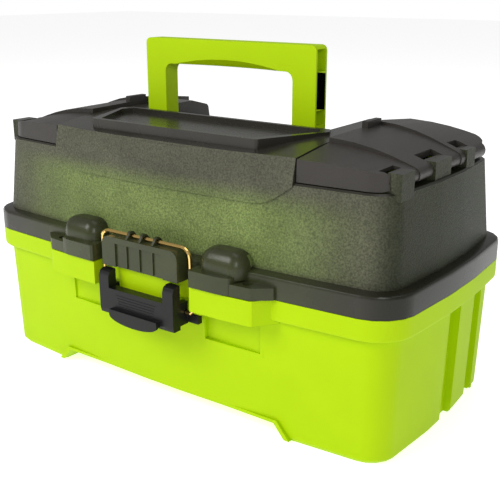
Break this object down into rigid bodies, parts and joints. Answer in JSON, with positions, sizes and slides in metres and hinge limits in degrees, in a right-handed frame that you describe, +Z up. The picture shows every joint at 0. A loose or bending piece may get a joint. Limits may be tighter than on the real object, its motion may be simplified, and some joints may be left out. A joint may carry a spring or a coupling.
{
  "type": "fishing tackle box",
  "caption": "Hinged tackle box with stacked cantilever trays, top access lids over shallow bins, a fold-down carrying handle and a wire-bail latch.",
  "frame": {"origin": "centre of the bounding box, at the underside of the feet", "axes": "+X along the length to the right-hand end, +Y from the latch to the lid hinge, +Z up"},
  "size_m": [0.4056, 0.233, 0.271],
  "materials": {
    "lime_plastic": "moulded polypropylene, lime green, fine matte grain",
    "smoke_plastic": "translucent smoke-grey moulding, fine grain on the walls and glossy rims",
    "black_plastic": "black moulded plastic with a soft sheen",
    "brass_wire": "bright brass-plated wire",
    "steel_pin": "plain drawn steel",
    "tray_plastic": "green moulded tray plastic"
  },
  "bodies": {
    "base": {"base_tub": "lime_plastic", "left_hinge_pin": "steel_pin", "right_hinge_pin": "steel_pin", "left_front_arm_rivet": "steel_pin", "left_rear_arm_rivet": "steel_pin", "right_front_arm_rivet": "steel_pin", "right_rear_arm_rivet": "steel_pin"},
    "lid": {"lid_shell": "smoke_plastic", "left_access_bin": "tray_plastic", "right_access_bin": "tray_plastic", "left_access_pin": "steel_pin", "right_access_pin": "steel_pin", "left_handle_pin": "steel_pin", "right_handle_pin": "steel_pin"},
    "left_access": {"left_access_lid": "smoke_plastic"},
    "right_access": {"right_access_lid": "smoke_plastic"},
    "carry_handle": {"handle": "lime_plastic"},
    "bail": {"latch_bail": "brass_wire"},
    "lever": {"latch_lever": "black_plastic"},
    "front_arms": {"left_front_arm": "black_plastic", "right_front_arm": "black_plastic"},
    "rear_arms": {"left_rear_arm": "black_plastic", "right_rear_arm": "black_plastic"},
    "lower_tray_body": {"lower_tray": "tray_plastic", "lower_tray_divider_1": "tray_plastic", "lower_tray_divider_2": "tray_plastic", "lower_tray_divider_3": "tray_plastic", "lower_tray_left_front_rivet": "steel_pin", "lower_tray_left_rear_rivet": "steel_pin", "lower_tray_right_front_rivet": "steel_pin", "lower_tray_right_rear_rivet": "steel_pin"},
    "upper_tray_body": {"upper_tray": "tray_plastic", "upper_tray_divider_1": "tray_plastic", "upper_tray_divider_2": "tray_plastic", "upper_tray_divider_3": "tray_plastic", "upper_tray_left_front_rivet": "steel_pin", "upper_tray_left_rear_rivet": "steel_pin", "upper_tray_right_front_rivet": "steel_pin", "upper_tray_right_rear_rivet": "steel_pin"}
  },
  "joints": [
    {"name": "lid_hinge", "type": "hinge", "parent": "base", "child": "lid", "pos_m": [0, 0.112, 0.1095], "axis": [-1, 0, 0], "range_deg": [0, 105]},
    {"name": "front_arm_swing", "type": "hinge", "parent": "base", "child": "front_arms", "pos_m": [0, 0.0355, 0.1], "axis": [-1, 0, 0], "range_deg": [0, 70.01]},
    {"name": "rear_arm_swing", "type": "hinge", "parent": "base", "child": "rear_arms", "pos_m": [0, 0.0775, 0.1], "axis": [-1, 0, 0], "range_deg": [0, 70.01]},
    {"name": "lower_tray_level", "type": "hinge", "parent": "front_arms", "child": "lower_tray_body", "pos_m": [0, -0.00679, 0.11539], "axis": [-1, 0, 0], "range_deg": [-70.01, 0]},
    {"name": "upper_tray_level", "type": "hinge", "parent": "front_arms", "child": "upper_tray_body", "pos_m": [0, -0.05847, 0.1342], "axis": [-1, 0, 0], "range_deg": [-70.01, 0]},
    {"name": "handle_fold", "type": "hinge", "parent": "lid", "child": "carry_handle", "pos_m": [0, 0.0055, 0.203], "axis": [-1, 0, 0], "range_deg": [0, 90]},
    {"name": "left_access_hinge", "type": "hinge", "parent": "lid", "child": "left_access", "pos_m": [-0.1805, 0.0055, 0.1948], "axis": [0, -1, 0], "range_deg": [0, 115]},
    {"name": "right_access_hinge", "type": "hinge", "parent": "lid", "child": "right_access", "pos_m": [0.1805, 0.0055, 0.1948], "axis": [0, 1, 0], "range_deg": [0, 115]},
    {"name": "bail_swing", "type": "hinge", "parent": "lid", "child": "bail", "pos_m": [0, -0.1005, 0.135], "axis": [-1, 0, 0], "range_deg": [0, 80]},
    {"name": "lever_tilt", "type": "hinge", "parent": "bail", "child": "lever", "pos_m": [0, -0.0985, 0.0854], "axis": [-1, 0, 0], "range_deg": [0, 8]}
  ],
  "couplings": [
    {"joint": "front_arm_swing", "follows": "lid_hinge", "ratio": 0.66667},
    {"joint": "rear_arm_swing", "follows": "lid_hinge", "ratio": 0.66667},
    {"joint": "lower_tray_level", "follows": "lid_hinge", "ratio": -0.66667},
    {"joint": "upper_tray_level", "follows": "lid_hinge", "ratio": -0.66667}
  ]
}
